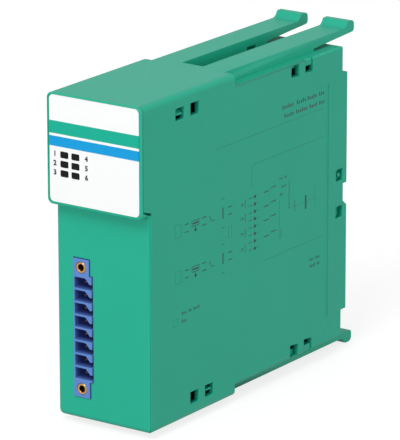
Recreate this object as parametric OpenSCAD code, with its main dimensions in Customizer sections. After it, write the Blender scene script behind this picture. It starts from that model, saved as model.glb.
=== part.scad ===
// Plug-in signal isolator: a narrow moulded housing with a hooded front and four latch
// arms at the rear, a clipped-on side cover, a keyed terminal header and a board inside.
// X runs across the width, Y from the front to the rear, Z up.

/* [Housing] */
// Width across the two side faces
body_w = 32.5; // [30:0.5:40]
// Height between the bottom and top faces
body_h = 95.4; // [94:0.2:110]
// Depth from the front of the hood to the rear edge of the side walls
body_d = 103; // [100:0.5:120]
// Wall thickness of the mouldings
wall = 1.8; // [1.5:0.1:2.2]
// How far the lower front stands behind the hood
front_setback = 3.7; // [2.5:0.1:5]
// Height of the hood
hood_h = 32.2; // [30:0.2:36]
// Rounding of the long edges
edge_r = 1.7; // [1.2:0.1:2.2]
// Rounding of the hood's front edges
hood_edge_r = 0.4; // [0.2:0.05:1]
// Rounding of the lower front's edges
front_edge_r = 0.7; // [0.4:0.05:1]
// Length of the full-height front part
shoulder_d = 45; // [42:0.5:48]
// Drop from the top face to the ledges beside the latch arms
ledge_drop = 3.4; // [3:0.1:4]
// Rounding of the ledges' outer edges
ledge_edge_r = 0.5; // [0.2:0.1:0.8]
// How far the middle of the rear stands out
rear_step = 2.7; // [2:0.1:3.5]
// Height of the stepped rear corners
rear_corner_h = 11.4; // [9:0.2:14]
// Height of the notch in the rear edge, at its floor
notch_h = 5.2; // [4:0.2:7]
// Depth of that notch
notch_d = 1.9; // [1:0.1:2.4]
// Slope at the lower end of that notch
notch_chamfer = 1.5; // [0.5:0.1:2]

/* [Latch arms] */
// How far the arms stand in from the side faces
arm_inset = 3.75; // [3:0.05:4.5]
// Width of the slot between two arms
arm_slot_w = 7.6; // [6:0.2:9]
// Distance from the end of the front part to the slot
arm_slot_setback = 2.3; // [1.5:0.1:4]
// Reach of the arms beyond the rear edge
arm_reach = 9; // [7:0.5:12]
// Length of the arms that is free ahead of the rear edge
arm_free = 12; // [9:0.5:15]
// Thickness of an arm at its tip
arm_tip_t = 1.6; // [1.2:0.1:2]
// Gap below an arm at its root
arm_gap = 0.8; // [0.4:0.1:1.2]
// Rise of the lip at the tip
lip_rise = 1.9; // [1.2:0.1:2.4]
// Length of the lip with its hollow
lip_len = 5.8; // [5:0.2:7]
// Radius of the hollow in front of the lip
lip_hollow_r = 2.3; // [1.6:0.1:2.6]
// Rounding of the lip's crest
lip_r = 1.5; // [0.8:0.1:1.8]
// Rounding of the lip's front edge
lip_front_r = 0.9; // [0.4:0.1:1.2]
// Rounding below the lip
lip_under_r = 1.1; // [0.6:0.1:1.3]
// Height of the core hole at the foot of an arm
foot_hole_h = 0.9; // [0.6:0.1:1.2]
// Depth of that core hole
foot_hole_d = 3; // [2:0.5:4]
// Length of that core hole
foot_hole_l = 4.7; // [3:0.1:6]

/* [Side cover] */
// Thickness of the side cover
cover_t = 1.6; // [1.4:0.1:2]
// Gap along the seams
seam_gap = 0.08; // [0.05:0.01:0.2]
// Gap of the mitred seam beside the lower front
mitre_gap = 0.06; // [0.05:0.01:0.2]
// Height of the cheek's lower corner above the hood's lower face
cheek_rise = 1.2; // [1:0.1:1.6]
// Height of the slit below the cheek
slit_h = 0.6; // [0.3:0.1:0.8]
// Rise of that slit towards the front
slit_rise = 1.3; // [0.5:0.1:2]
// Width of a snap window
window_w = 4.1; // [3:0.1:5]
// Height of a snap window
window_h = 3.5; // [3:0.1:4.5]
// Distance from the top or bottom face to the windows
window_edge = 3.75; // [3.6:0.05:4.5]
// Spacing of the windows of a pair
window_pitch = 7.2; // [6:0.1:9]
// First upper front window, from the hood's front
upper_front_window = 18.2; // [14:0.2:22]
// First lower front window, from the hood's front
lower_front_window = 25; // [20:0.2:28]
// First rear window, from the hood's front
rear_window = 75.5; // [70:0.5:78]
// Spacing of the two windows at the rear edge
edge_window_pitch = 11.3; // [10.8:0.1:13]
// Width of the two windows at the rear edge
edge_window_w = 3.6; // [3.2:0.1:4]
// Depth of the well behind the lower window at the rear edge
edge_well_d = 4; // [2:0.5:6]
// Height of a catch in its window
catch_h = 1.6; // [1.2:0.1:2]
// Room around a catch
catch_gap = 0.6; // [0.3:0.05:0.7]
// Room around the catch at the rear edge
edge_catch_gap = 1.15; // [0.6:0.05:1.25]
// How deep a catch sits below the side face
catch_sink = 0.3; // [0.1:0.1:0.6]
// Thickness of the stem that carries a catch
catch_stem_t = 2; // [1.5:0.1:3]
// Height of the blunt tip of a catch, below its ramp
catch_tip_h = 0.5; // [0.3:0.1:0.8]
// Height of the tabs that reach from the ledges into the rear windows
tab_h = 2; // [1.5:0.1:2.4]
// Room beside such a tab
tab_gap = 0.5; // [0.2:0.05:0.7]
// Width of the shallow groove near the rear edge
groove_w = 1.4; // [0.8:0.1:2]
// Depth of that groove
groove_d = 0.15; // [0.1:0.05:0.3]
// Distance of that groove from the rear edge
groove_setback = 11.2; // [9:0.1:13]
// Distance of that groove's upper end from the top face
groove_drop = 13; // [12:0.5:20]

/* [Label and lamps] */
// Thickness of the label
label_t = 0.2; // [0.1:0.05:0.3]
// Corner rounding of the label
label_r = 1.4; // [0.8:0.1:2]
// Width of a lamp window
lamp_w = 2.6; // [2:0.1:3]
// Height of a lamp window
lamp_h = 1.75; // [1.4:0.05:2]
// Spacing of the lamp columns
lamp_pitch_x = 3.8; // [3.8:0.1:5]
// Spacing of the lamp rows
lamp_pitch_z = 2.7; // [2.7:0.05:3.2]
// Middle of the lamps, from the left side face
lamp_x = 7.95; // [7.4:0.05:8.8]
// Middle of the lamps, below the top face
lamp_drop = 20.15; // [17:0.1:23]
// Room around a lamp window
lamp_gap = 0.1; // [0.05:0.01:0.15]
// Length of the light guides
guide_len = 10.6; // [9:0.2:14]
// How much wider a guide's collar is on each side
collar_w = 0.3; // [0.25:0.05:0.3]
// Thickness of that collar
collar_t = 1; // [0.6:0.1:1.5]
// Gap between a light guide and its lamp
guide_gap = 0.3; // [0.1:0.1:0.6]
// Thickness of a lamp
led_t = 0.8; // [0.6:0.1:1.2]

/* [Terminal header] */
// Spacing of the poles
pole_pitch = 3.81; // [3.5:0.01:3.9]
// Middle of the header, from the left side face
header_x = 8.85; // [8.2:0.05:9.6]
// Middle of the header, above the bottom face
header_z = 27.1; // [25:0.1:32]
// How far the header stands out of the lower front
header_proud = 0.4; // [0.2:0.1:1]
// Depth of the header
header_d = 10; // [9:0.2:12]
// Width of the two screw flanges
flange_w = 5.5; // [5:0.1:6]
// Length over both flanges
header_len = 40.8; // [40.4:0.2:44]
// Spacing of the two screw inserts
insert_spacing = 35.8; // [35.4:0.1:36.2]
// Depth of a pole's pocket
pocket_d = 6.6; // [5:0.2:7.4]
// Thickness of the walls between the pockets
pocket_wall = 0.6; // [0.5:0.05:0.8]
// How much further the keyed wall stands out than the flanges
key_step = 0.9; // [0.6:0.1:1.2]
// Thickness of the keyed wall
key_wall = 0.7; // [0.5:0.1:0.9]
// Depth of the key slots in that wall
key_slot_d = 3; // [2:0.2:4]
// Thickness of the plain wall opposite
plain_wall = 0.5; // [0.4:0.1:0.8]
// Thickness of a contact pin
pin_t = 0.9; // [0.7:0.05:1]
// Outer radius of a screw insert
insert_r = 1.65; // [1.4:0.05:1.8]
// Core radius of the insert's thread
thread_core_r = 1; // [0.8:0.05:1.1]
// Length of a screw insert
insert_len = 6.5; // [5:0.5:8]
// Room between the header and its opening
header_gap = 0.15; // [0.1:0.05:0.3]

/* [Board] */
// Thickness of the boards
board_t = 1.6; // [1.2:0.1:2]
// Room at the edges of the board
board_gap = 0.2; // [0.1:0.05:0.4]
// Room between the front wall and the board
board_setback = 1.2; // [0.8:0.1:2]
// Distance from the board to the left face of the header
header_standoff = 0.5; // [0.3:0.1:1]
// Height of the guide ribs that hold the board
rib_h = 3; // [2:0.2:4]
// Thickness of the guide ribs
rib_t = 1.2; // [1:0.1:1.6]
// Middle of the transformer, from the hood's front
transformer_y = 52; // [48:0.5:54]
// Middle of the transformer, above the bottom face
transformer_z = 28; // [24:0.5:30]
// Length of the ferrite core
core_l = 20; // [18:0.5:22]
// Height of the ferrite core over the board
core_h = 16; // [14:0.5:18]
// Thickness of the ferrite core
core_t = 7; // [6:0.2:8]
// Width of the ferrite legs
core_leg = 3.6; // [3:0.1:4]
// Radius of an electrolytic capacitor
cap_r = 4; // [3:0.1:4.5]
// Height of an electrolytic capacitor
cap_h = 11.5; // [9:0.5:14]
// First capacitor, from the hood's front
cap_y = 72; // [68:0.5:74]
// Spacing of the capacitors
cap_pitch = 11; // [10:0.2:12]
// First coupler, above the bottom face
coupler_z = 38; // [36:0.5:40]
// Spacing of the couplers
coupler_pitch = 10; // [9:0.2:10.5]
// Room between the couplers and the legs of the rear contacts
coupler_gap = 6.2; // [2:0.2:8]
// Length of the rear plug
plug_len = 44; // [40:0.5:50]
// Width of the rear plug
plug_w = 8; // [7:0.2:9]
// How far the rear plug stands out beyond the rear edge
plug_reach = 4; // [2:0.5:6]
// Depth of the rear plug inside the housing
plug_d = 9; // [7:0.5:11]
// Spacing of the rear plug's contacts
contact_pitch = 3.6; // [3.2:0.1:3.7]
// Thickness of a rear contact
contact_t = 0.8; // [0.6:0.05:1]

/* [Hidden] */
$fn = 48;
eps = 0.05;
half_w = body_w / 2;
hood_z = body_h - hood_h;
ledge_z = body_h - ledge_drop;
mid_z = body_h / 2;
rear_face = body_d - rear_step;
inner_y = front_setback + wall;
seam_x = half_w - cover_t;
overall_d = body_d + arm_reach;
arm_root = body_d - arm_free;
arm_outer = half_w - arm_inset;

// How far a cutter runs past the face it cuts
over = 1;

// The snap windows near the top and bottom: position along Y, upper or not, what reaches into it
WINDOWS = [
    [upper_front_window, true, "catch"],
    [upper_front_window + window_pitch, true, "nothing"],
    [rear_window, true, "nothing"],
    [rear_window + window_pitch, true, "tab"],
    [lower_front_window, false, "nothing"],
    [lower_front_window + window_pitch, false, "catch"],
    [rear_window, false, "nothing"],
    [rear_window + window_pitch, false, "tab"]
];

// Side cover: its cheek starts just behind the rounding of the hood's front edge
cheek_setback = 0.38;
cheek_y = hood_edge_r + cheek_setback;
cheek_z = hood_z + cheek_rise;
slit_end = front_setback + front_edge_r;
slit_floor = cheek_z - slit_h;
mitre_end = front_setback + cover_t;
mitre_shift = mitre_gap * sqrt(0.5);
well_skin = 0.6;

// Label and lamps
label_rim = 0.15;
label_gap = 0.05;
label_margin = hood_edge_r + label_rim;
label_w = body_w - 2 * label_margin;
label_h = hood_h - 2 * label_margin;
label_z = hood_z + hood_h / 2;
lamp_mid = lamp_x - half_w;
lamp_z = body_h - lamp_drop;
lamp_corner_r = 0.3;
led_front = guide_len + guide_gap;
led_board_front = led_front + led_t;
led_board_back = led_board_front + board_t;
led_board_margin = 1.6;
led_w = 2;
led_h = 1.25;

// Header
poles = 8;
header_mid = header_x - half_w;
header_front = front_setback - header_proud;
header_back = header_front + header_d;
header_left = header_mid - flange_w / 2;
header_right = header_mid + flange_w / 2 + key_step;
row_len = poles * pole_pitch + pocket_wall;
pocket_h = pole_pitch - pocket_wall;
pocket_left = header_left + plain_wall;
pocket_right = header_right - key_wall;
pocket_mid = (pocket_left + pocket_right) / 2;
key_cut_w = 1.5;
key_cut_h = 1.6;
well_w = 2.4;
well_d = 1.2;
pin_recess = 1.6;
pin_reach = 1.2;
pin_tip = header_front + pin_recess;
pin_bend = header_back + pin_reach;
pin_clearance = 0.06;
pin_tail = 1.2;

// Board
board_face = header_left - header_standoff;
board_back = board_face - board_t;
board_z0 = ledge_drop + wall + board_gap;
board_z1 = ledge_z - wall - board_gap;
board_y0 = inner_y + board_setback;
board_y1 = rear_face - wall - board_gap;
board_hole_r = pin_t * sqrt(0.5) + pin_clearance;

// Rear plug and its contacts, whose legs stand in two rows ahead of it
plug_mid_x = board_face + plug_w / 2;
plug_back = board_y1 - plug_d + wall;
contacts_per_row = 11;
contact_tail = 1.5;
contact_row_step = 1.6;
contact_room = 0.7;
contact_recess = 0.8;
contact_well_d = plug_reach + contact_room;

// Transformer: the drum of the bobbin goes round the middle leg of the core
core_lift = 2;
core_x = board_face + core_lift;
bobbin_t = 0.7;
bobbin_gap = 0.1;
bobbin_rim = 2.5;
winding_sink = 0.4;
drum_y = core_leg + 2 * bobbin_gap + 2 * bobbin_t;
drum_z = core_t + 2 * bobbin_gap + 2 * bobbin_t;
drum_x0 = core_x + core_leg + bobbin_gap;
drum_x1 = core_x + core_h - core_leg - bobbin_gap;
drum_x = (drum_x0 + drum_x1) / 2;
flange_y = core_l - 2 * core_leg - 2 * bobbin_gap;

// Chips: length between the rows of legs, width along the rows, height
chip_lift = 0.3;
leg_t = 0.4;
leg_l = 1.1;
leg_root = 0.1;
coupler_l = 6.4;
coupler_w = 7.2;
coupler_h = 3.4;
coupler_leg_pitch = 2.54;
coupler_y = plug_back - contact_tail - contact_row_step - coupler_gap - leg_l - coupler_l / 2;
controller_w = 10;
controller_h = 1.4;
controller_leg_pitch = 1;
controller_ahead = 18;
controller_rise = 32;
converter_l = 6;
converter_w = 9.8;
converter_h = 1.6;
converter_leg_pitch = 1.1;
converter_rise = 18;

// Capacitors, below the rear plug
cap_gap = 0.4;
cap_edge = 0.4;
cap_bead_z = 1.6;
cap_bead_w = 0.4;
cap_bead_d = 0.35;
cap_z = mid_z - plug_len / 2 - cap_gap - cap_r;

GREEN = "#2f9f83";
BLUE = "#4a69b5";

// Moves the design frame, with Y from the hood and Z from the bottom face, onto the origin
// below the middle of the part.
module place() translate([0, -overall_d / 2, lip_rise]) children();

// A flat shape in Y and Z, drawn out along X
module along_x(x0, x1) translate([x0, 0, 0]) rotate([90, 0, 90]) linear_extrude(x1 - x0) children();

// A flat shape in X and Z, drawn out along Y
module along_y(y0, y1) translate([0, y1, 0]) rotate([90, 0, 0]) linear_extrude(y1 - y0) children();

// A flat shape in X and Y, drawn out along Z
module along_z(z0, z1) translate([0, 0, z0]) linear_extrude(z1 - z0) children();

// A box between two corners
module span(low, high) translate(low) cube(high - low);

// A rectangle whose corners have their own radii, in the order
// lower left, lower right, upper right, upper left
module soft_rect(u0, u1, v0, v1, r) {
    polygon([
        [u0 + r[0], v0], [u1 - r[1], v0],
        [u1, v0 + r[1]], [u1, v1 - r[2]],
        [u1 - r[2], v1], [u0 + r[3], v1],
        [u0, v1 - r[3]], [u0, v0 + r[0]]
    ]);
    if (r[0] > 0) translate([u0 + r[0], v0 + r[0]]) circle(r[0]);
    if (r[1] > 0) translate([u1 - r[1], v0 + r[1]]) circle(r[1]);
    if (r[2] > 0) translate([u1 - r[2], v1 - r[2]]) circle(r[2]);
    if (r[3] > 0) translate([u0 + r[3], v1 - r[3]]) circle(r[3]);
}

// The section of a round post along Y, whose front edge is rounded too
module post_section(depth, long_r, front_r) difference() {
    square([long_r, depth]);
    difference() {
        translate([long_r - front_r, -over]) square([front_r + over, front_r + over]);
        translate([long_r - front_r, front_r]) circle(front_r);
    }
}

// A block across the full width: its long edges take one radius, its front edges a smaller one
module soft_block(y0, y1, z0, z1, long_r, front_r) {
    x1 = half_w - long_r;
    along_x(-x1, x1) soft_rect(y0, y1, z0, z1, [front_r, 0, 0, front_r]);
    along_z(z0 + long_r, z1 - long_r) soft_rect(-half_w, half_w, y0, y1, [front_r, front_r, 0, 0]);
    for (x = [-x1, x1], z = [z0 + long_r, z1 - long_r])
        translate([x, y0, z]) rotate([-90, 0, 0]) rotate_extrude() post_section(y1 - y0, long_r, front_r);
}

module hood_block() soft_block(0, shoulder_d, hood_z, body_h, edge_r, hood_edge_r);

// The front part below the hood, set back behind it, runs up inside the hood
module lower_block() soft_block(front_setback, shoulder_d, 0, hood_z + hood_h / 2, edge_r, front_edge_r);

// The notch in the rear edge, with a slope at its lower end
module notch_side() {
    z0 = mid_z - notch_h / 2;
    z1 = mid_z + notch_h / 2;
    polygon([
        [body_d - notch_d, z0], [body_d, z0 - notch_chamfer], [body_d + over, z0 - notch_chamfer],
        [body_d + over, z1], [body_d - notch_d, z1]
    ]);
}

// The rear part, lower by a ledge at the top and the bottom, with its stepped rear edge
module rear_block() {
    r = ledge_edge_r;
    along_y(shoulder_d - wall, rear_face)
        soft_rect(-half_w, half_w, ledge_drop, ledge_z, [r, r, r, r]);
    difference() {
        span([-half_w, rear_face - wall, rear_corner_h], [half_w, body_d, body_h - rear_corner_h]);
        along_x(-half_w - over, half_w + over) notch_side();
    }
}

module envelope() {
    hood_block();
    lower_block();
    rear_block();
}

// The hollow inside: the outline of the side, one wall further in, open towards the side cover
module cavity() {
    step_y = shoulder_d - wall;
    along_x(-half_w + wall, half_w + over)
        polygon([
            [inner_y, wall], [inner_y, hood_z + wall], [wall, hood_z + wall],
            [wall, body_h - wall], [step_y, body_h - wall], [step_y, ledge_z - wall],
            [rear_face - wall, ledge_z - wall], [rear_face - wall, ledge_drop + wall],
            [step_y, ledge_drop + wall], [step_y, wall]
        ]);
}

// The side behind the hood's front edge, above a line that slopes down to the lower front
module cheek_side(gap, drop) along_x(seam_x - gap, half_w + over)
    polygon([
        [cheek_y - gap, body_h + over], [cheek_y - gap, cheek_z + slit_rise - drop],
        [slit_end, cheek_z - drop], [body_d + over, cheek_z - drop], [body_d + over, body_h + over]
    ]);

// The side behind a mitre at the corner of the lower front, up to a height
module mitre_side(gap, shift, z1) along_z(-over, z1)
    polygon([
        [seam_x - gap, mitre_end + gap + shift], [half_w + over, front_setback - over + shift],
        [half_w + over, body_d + over], [seam_x - gap, body_d + over]
    ]);

// The space that the housing leaves for the side cover, with the slit below the cheek
module cover_room() {
    cheek_side(seam_gap, slit_h);
    mitre_side(seam_gap, -mitre_shift, slit_floor + eps);
}

// The space of the side cover itself: cheek, lower part, and the neck behind the slit
module cover_space() {
    cheek_side(0, 0);
    mitre_side(0, mitre_shift, slit_floor - seam_gap);
    intersection() {
        mitre_side(0, mitre_shift, cheek_z + over);
        span([seam_x, slit_end + seam_gap, -over], [half_w + over, body_d + over, cheek_z + over]);
    }
}

// The shallow recess in the middle of the rear, inside a rim
module rear_recess()
    span([-half_w + wall, rear_face, rear_corner_h + wall],
         [seam_x - wall, body_d + over, body_h - rear_corner_h - wall]);

// The side of one latch arm: a rib on the ledge, then a free bar with a lip at its tip
module arm_side() {
    tip = overall_d;
    hollow_y = tip - lip_len;
    hollow_z = body_h + lip_hollow_r;
    top = body_h + lip_rise;
    round_z = top - lip_front_r;
    round_y = hollow_y + sqrt(pow(lip_hollow_r + lip_front_r, 2) - pow(hollow_z - round_z, 2));
    root_r = arm_gap / 2;
    difference() {
        union() {
            polygon([
                [shoulder_d - wall, ledge_z - wall], [arm_root, ledge_z - wall],
                [arm_root, ledge_z + arm_gap],
                [tip - lip_under_r, body_h - arm_tip_t], [tip - lip_under_r, body_h],
                [shoulder_d - wall, body_h]
            ]);
            soft_rect(hollow_y, tip, body_h - arm_tip_t, top, [0, lip_under_r, lip_r, 0]);
        }
        translate([hollow_y, hollow_z]) circle(lip_hollow_r);
        difference() {
            polygon([
                [hollow_y, hollow_z], [round_y, round_z], [round_y, top + over], [hollow_y, top + over]
            ]);
            translate([round_y, round_z]) circle(lip_front_r);
        }
        translate([arm_root, ledge_z + root_r]) circle(root_r);
    }
}

// The two arms of one end, with the bridge that ends the slot between them
module arm_pair() {
    foot_y = rear_window + window_pitch;
    difference() {
        union() {
            for (side = [-1, 1])
                along_x(side > 0 ? arm_slot_w / 2 : -arm_outer, side > 0 ? arm_outer : -arm_slot_w / 2)
                    arm_side();
            span([-arm_outer, shoulder_d - wall, ledge_z - wall],
                 [arm_outer, shoulder_d + arm_slot_setback, body_h]);
        }
        for (side = [-1, 1])
            translate([side * (arm_slot_w / 2 + foot_hole_d / 2 - eps), foot_y, ledge_z + foot_hole_h / 2])
                cube([foot_hole_d, foot_hole_l, foot_hole_h], center = true);
    }
}

// Turns a thing at the top into its like at the bottom
module flip_down() translate([0, 0, body_h]) mirror([0, 0, 1]) children();

// One catch of the housing that hangs from the top wall and reaches into a window: its tip
// has a ramp that lets the cover slide over it
module catch_top(y) {
    w = window_w - 2 * catch_gap;
    top = body_h - window_edge - catch_gap;
    bottom = top - catch_h;
    stem_x = seam_x - seam_gap - catch_gap;
    tip_x = half_w - catch_sink;
    along_y(y - w / 2, y + w / 2)
        polygon([
            [stem_x - catch_stem_t, bottom], [tip_x, bottom], [tip_x, bottom + catch_tip_h],
            [stem_x, top], [stem_x, body_h - wall + eps], [stem_x - catch_stem_t, body_h - wall + eps]
        ]);
}

// One tab of the upper ledge that reaches into a window that is open at the top
module ledge_tab(y) {
    w = window_w - 2 * tab_gap;
    along_y(y - w / 2, y + w / 2)
        soft_rect(seam_x - wall, half_w - catch_sink, ledge_z - tab_h, ledge_z, [0, 0, ledge_edge_r, 0]);
}

// One catch at the rear edge, carried by the rear wall in the middle of its window
module catch_rear(z) {
    h = window_h - 2 * edge_catch_gap;
    y1 = rear_face + catch_gap;
    span([seam_x - wall, y1 - edge_window_w + edge_catch_gap, z - h / 2],
         [half_w - catch_sink, y1 - edge_catch_gap, z + h / 2]);
}

// A snap window near the top edge; one with a tab is open at the ledge
module window_cut(y, kind) {
    z0 = body_h - window_edge - window_h;
    z1 = kind == "tab" ? ledge_z + over : z0 + window_h;
    span([seam_x - over, y - window_w / 2, z0], [half_w + over, y + window_w / 2, z1]);
}

module edge_window_cut(z) {
    y1 = rear_face + catch_gap;
    span([seam_x - over, y1 - edge_window_w, z - window_h / 2], [half_w + over, y1, z + window_h / 2]);
}

// The well in the end of the rear wall, behind the lower window at the rear edge
module edge_well(z)
    span([seam_x - edge_well_d, rear_face - wall - over, z - window_h / 2],
         [seam_x + over, rear_face - well_skin, z + window_h / 2]);

// Two ribs with the edge of the board between them, at the top of the rear part
module board_guide() {
    y0 = shoulder_d + wall;
    for (x = [board_back - board_gap - rib_t, board_face + board_gap])
        span([x, y0, ledge_z - wall - rib_h], [x + rib_t, rear_face - wall, ledge_z - wall + eps]);
}

// The outline of the header in X and Z, larger by a margin
module header_outline(margin) {
    translate([header_left - margin, header_z - header_len / 2 - margin])
        square([flange_w + 2 * margin, header_len + 2 * margin]);
    translate([header_left - margin, header_z - row_len / 2 - margin])
        square([flange_w + key_step + 2 * margin, row_len + 2 * margin]);
}

// Where the lamps sit, column by column and from the top down
function lamp_at(i) = [
    lamp_mid + (floor(i / 3) - 0.5) * lamp_pitch_x,
    lamp_z + (1 - i % 3) * lamp_pitch_z
];

module lamp_outline(i, margin) {
    p = lamp_at(i);
    r = lamp_corner_r + margin;
    soft_rect(p[0] - lamp_w / 2 - margin, p[0] + lamp_w / 2 + margin,
              p[1] - lamp_h / 2 - margin, p[1] + lamp_h / 2 + margin, [r, r, r, r]);
}

module label_outline(margin) {
    r = label_r + margin;
    soft_rect(-label_w / 2 - margin, label_w / 2 + margin,
              label_z - label_h / 2 - margin, label_z + label_h / 2 + margin, [r, r, r, r]);
}

// The opening in the rear wall for the rear plug
module plug_room() {
    x = plug_w / 2 + header_gap;
    z = plug_len / 2 + header_gap;
    span([plug_mid_x - x, rear_face - wall - over, mid_z - z],
         [plug_mid_x + x, rear_face + over, mid_z + z]);
}

module housing_shell() color(GREEN) place() difference() {
    union() {
        difference() {
            envelope();
            cover_room();
            cavity();
            rear_recess();
        }
        arm_pair();
        flip_down() arm_pair();
        board_guide();
        flip_down() board_guide();
        for (w = WINDOWS) {
            if (w[2] == "catch" && w[1]) catch_top(w[0]);
            if (w[2] == "catch" && !w[1]) flip_down() catch_top(w[0]);
            if (w[2] == "tab" && w[1]) ledge_tab(w[0]);
            if (w[2] == "tab" && !w[1]) flip_down() ledge_tab(w[0]);
        }
        catch_rear(mid_z + edge_window_pitch / 2);
    }
    along_y(-over, label_t) label_outline(label_gap);
    for (i = [0:5]) along_y(-over, wall + over) lamp_outline(i, lamp_gap);
    along_y(front_setback - over, inner_y + over) header_outline(header_gap);
    plug_room();
    edge_well(mid_z - edge_window_pitch / 2);
}

module side_cover() color(GREEN) place() difference() {
    intersection() {
        envelope();
        cover_space();
    }
    for (w = WINDOWS) {
        if (w[1]) window_cut(w[0], w[2]);
        else flip_down() window_cut(w[0], w[2]);
    }
    for (side = [-1, 1]) edge_window_cut(mid_z + side * edge_window_pitch / 2);
    span([half_w - groove_d, body_d - groove_setback, rear_corner_h],
         [half_w + over, body_d - groove_setback + groove_w, body_h - groove_drop]);
}

module front_label() color("white") place() difference() {
    along_y(0, label_t) label_outline(0);
    for (i = [0:5]) along_y(-over, label_t + over) lamp_outline(i, lamp_gap);
}

// A light guide with a collar behind the front wall
module light_guide(i) color("#14161a") place() {
    along_y(0, guide_len) lamp_outline(i, 0);
    along_y(wall, wall + collar_t) lamp_outline(i, collar_w);
}

module status_lamp(i) color("#e8e2c4") place() {
    p = lamp_at(i);
    translate([p[0], led_front + led_t / 2, p[1]]) cube([led_w, led_t, led_h], center = true);
}

module lamp_board() color("#1c5a3a") place() {
    m = led_board_margin;
    x0 = min(lamp_mid - lamp_pitch_x / 2 - led_w / 2 - m, board_back);
    x1 = lamp_mid + lamp_pitch_x / 2 + led_w / 2 + m;
    z = lamp_pitch_z + led_h / 2 + m;
    span([x0, led_board_front, lamp_z - z], [x1, led_board_back, lamp_z + z]);
}

function pole_z(i) = header_z + ((poles - 1) / 2 - i) * pole_pitch;

// The slot in the keyed wall beside a pole's pocket
module key_slot(i) {
    z0 = pole_z(i) - pocket_h / 2;
    span([pocket_right - eps, header_front - over, z0],
         [header_right + over, header_front + key_slot_d, z0 + pocket_h - key_cut_h]);
}

// A pole's pocket: its upper right corner is cut off as a key
module pocket_outline(i) {
    z0 = pole_z(i) - pocket_h / 2;
    z1 = pole_z(i) + pocket_h / 2;
    polygon([
        [pocket_left, z0], [pocket_right, z0],
        [pocket_right, z1 - key_cut_h], [pocket_right - key_cut_w, z1], [pocket_left, z1]
    ]);
}

module header_body() color(BLUE) place() difference() {
    union() {
        along_y(header_front, header_back) header_outline(0);
        span([board_face, board_y0, header_z - header_len / 2],
             [header_right, header_back, header_z + header_len / 2]);
    }
    for (i = [0:poles - 1]) {
        along_y(header_front - over, header_front + pocket_d) pocket_outline(i);
        key_slot(i);
        translate([pocket_mid, header_front + pocket_d, pole_z(i)])
            cube([well_w, 2 * well_d, well_w], center = true);
        translate([pocket_mid, header_back, pole_z(i)])
            cube([pin_t + 2 * pin_clearance, 3 * header_d, pin_t + 2 * pin_clearance], center = true);
    }
    for (s = [-1, 1])
        translate([header_mid, header_front - over, header_z + s * insert_spacing / 2])
            rotate([-90, 0, 0])
                cylinder(r = insert_r + pin_clearance, h = insert_len + over + pin_clearance);
}

// A contact pin: along the pocket, then turned down through the board
module header_pin(i) color("silver") place() {
    t = pin_t / 2;
    z = pole_z(i);
    span([pocket_mid - t, pin_tip, z - t], [pocket_mid + t, pin_bend + pin_t, z + t]);
    span([board_back - pin_tail, pin_bend, z - t], [pocket_mid + t, pin_bend + pin_t, z + t]);
}

// A threaded brass insert, its thread left plain
module screw_insert(s) color("#b5823a") place()
    translate([header_mid, header_front, header_z + s * insert_spacing / 2]) rotate([-90, 0, 0])
        difference() {
            cylinder(r = insert_r, h = insert_len);
            translate([0, 0, -over]) cylinder(r = thread_core_r, h = insert_len + 2 * over);
        }

// The main board, notched at its upper front corner for the lamp board
module main_board() color("#1c5a3a") place() difference() {
    along_x(board_back, board_face)
        polygon([
            [board_y0, board_z0], [board_y1, board_z0], [board_y1, board_z1],
            [led_board_back, board_z1], [led_board_back, hood_z], [board_y0, hood_z]
        ]);
    for (i = [0:poles - 1])
        translate([board_back - over, pin_bend + pin_t / 2, pole_z(i)])
            rotate([0, 90, 0]) cylinder(r = board_hole_r, h = board_t + 2 * over);
}

// The ferrite core: a closed frame with a middle leg
module transformer_core() color("#3a3a3c") place() {
    winding_l = (core_l - 3 * core_leg) / 2;
    difference() {
        span([core_x, transformer_y - core_l / 2, transformer_z - core_t / 2],
             [core_x + core_h, transformer_y + core_l / 2, transformer_z + core_t / 2]);
        for (s = [-1, 1])
            translate([core_x + core_h / 2, transformer_y + s * (core_leg + winding_l) / 2, transformer_z])
                cube([core_h - 2 * core_leg, winding_l, core_t + 2 * over], center = true);
    }
}

// The bobbin: a square drum with two flanges, and feet that stand on the board
module transformer_bobbin() color("#22242a") place() difference() {
    union() {
        translate([drum_x, transformer_y, transformer_z])
            cube([drum_x1 - drum_x0, drum_y, drum_z], center = true);
        for (x = [drum_x0, drum_x1 - bobbin_t])
            translate([x + bobbin_t / 2, transformer_y, transformer_z])
                cube([bobbin_t, flange_y, drum_z + 2 * bobbin_rim], center = true);
        for (s = [-1, 1])
            translate([(board_face + drum_x0 + bobbin_t) / 2, transformer_y,
                       transformer_z + s * (drum_z + bobbin_rim) / 2])
                cube([drum_x0 + bobbin_t - board_face, flange_y, bobbin_rim], center = true);
    }
    translate([drum_x, transformer_y, transformer_z])
        cube([core_h, core_leg + 2 * bobbin_gap, core_t + 2 * bobbin_gap], center = true);
}

// The winding fills the drum between the flanges
module transformer_winding() color("#b8762e") place()
    translate([drum_x, transformer_y, transformer_z]) difference() {
        l = drum_x1 - drum_x0 - 2 * bobbin_t - 2 * bobbin_gap;
        cube([l, flange_y - 2 * winding_sink, drum_z + 2 * (bobbin_rim - winding_sink)], center = true);
        cube([l + 2 * over, drum_y + 2 * bobbin_gap, drum_z + 2 * bobbin_gap], center = true);
    }

// A chip that lies on the board, with a row of legs at each end of its length
module chip(y, z, l, w, h, legs, pitch) {
    translate([board_face + chip_lift + h / 2, y, z]) cube([h, l, w], center = true);
    leg_h = chip_lift + h / 2;
    for (s = [-1, 1], i = [0:legs - 1])
        translate([board_face + leg_h / 2,
                   y + s * (l + leg_l - leg_root) / 2,
                   z + (i - (legs - 1) / 2) * pitch])
            cube([leg_h, leg_l + leg_root, leg_t], center = true);
}

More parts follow.
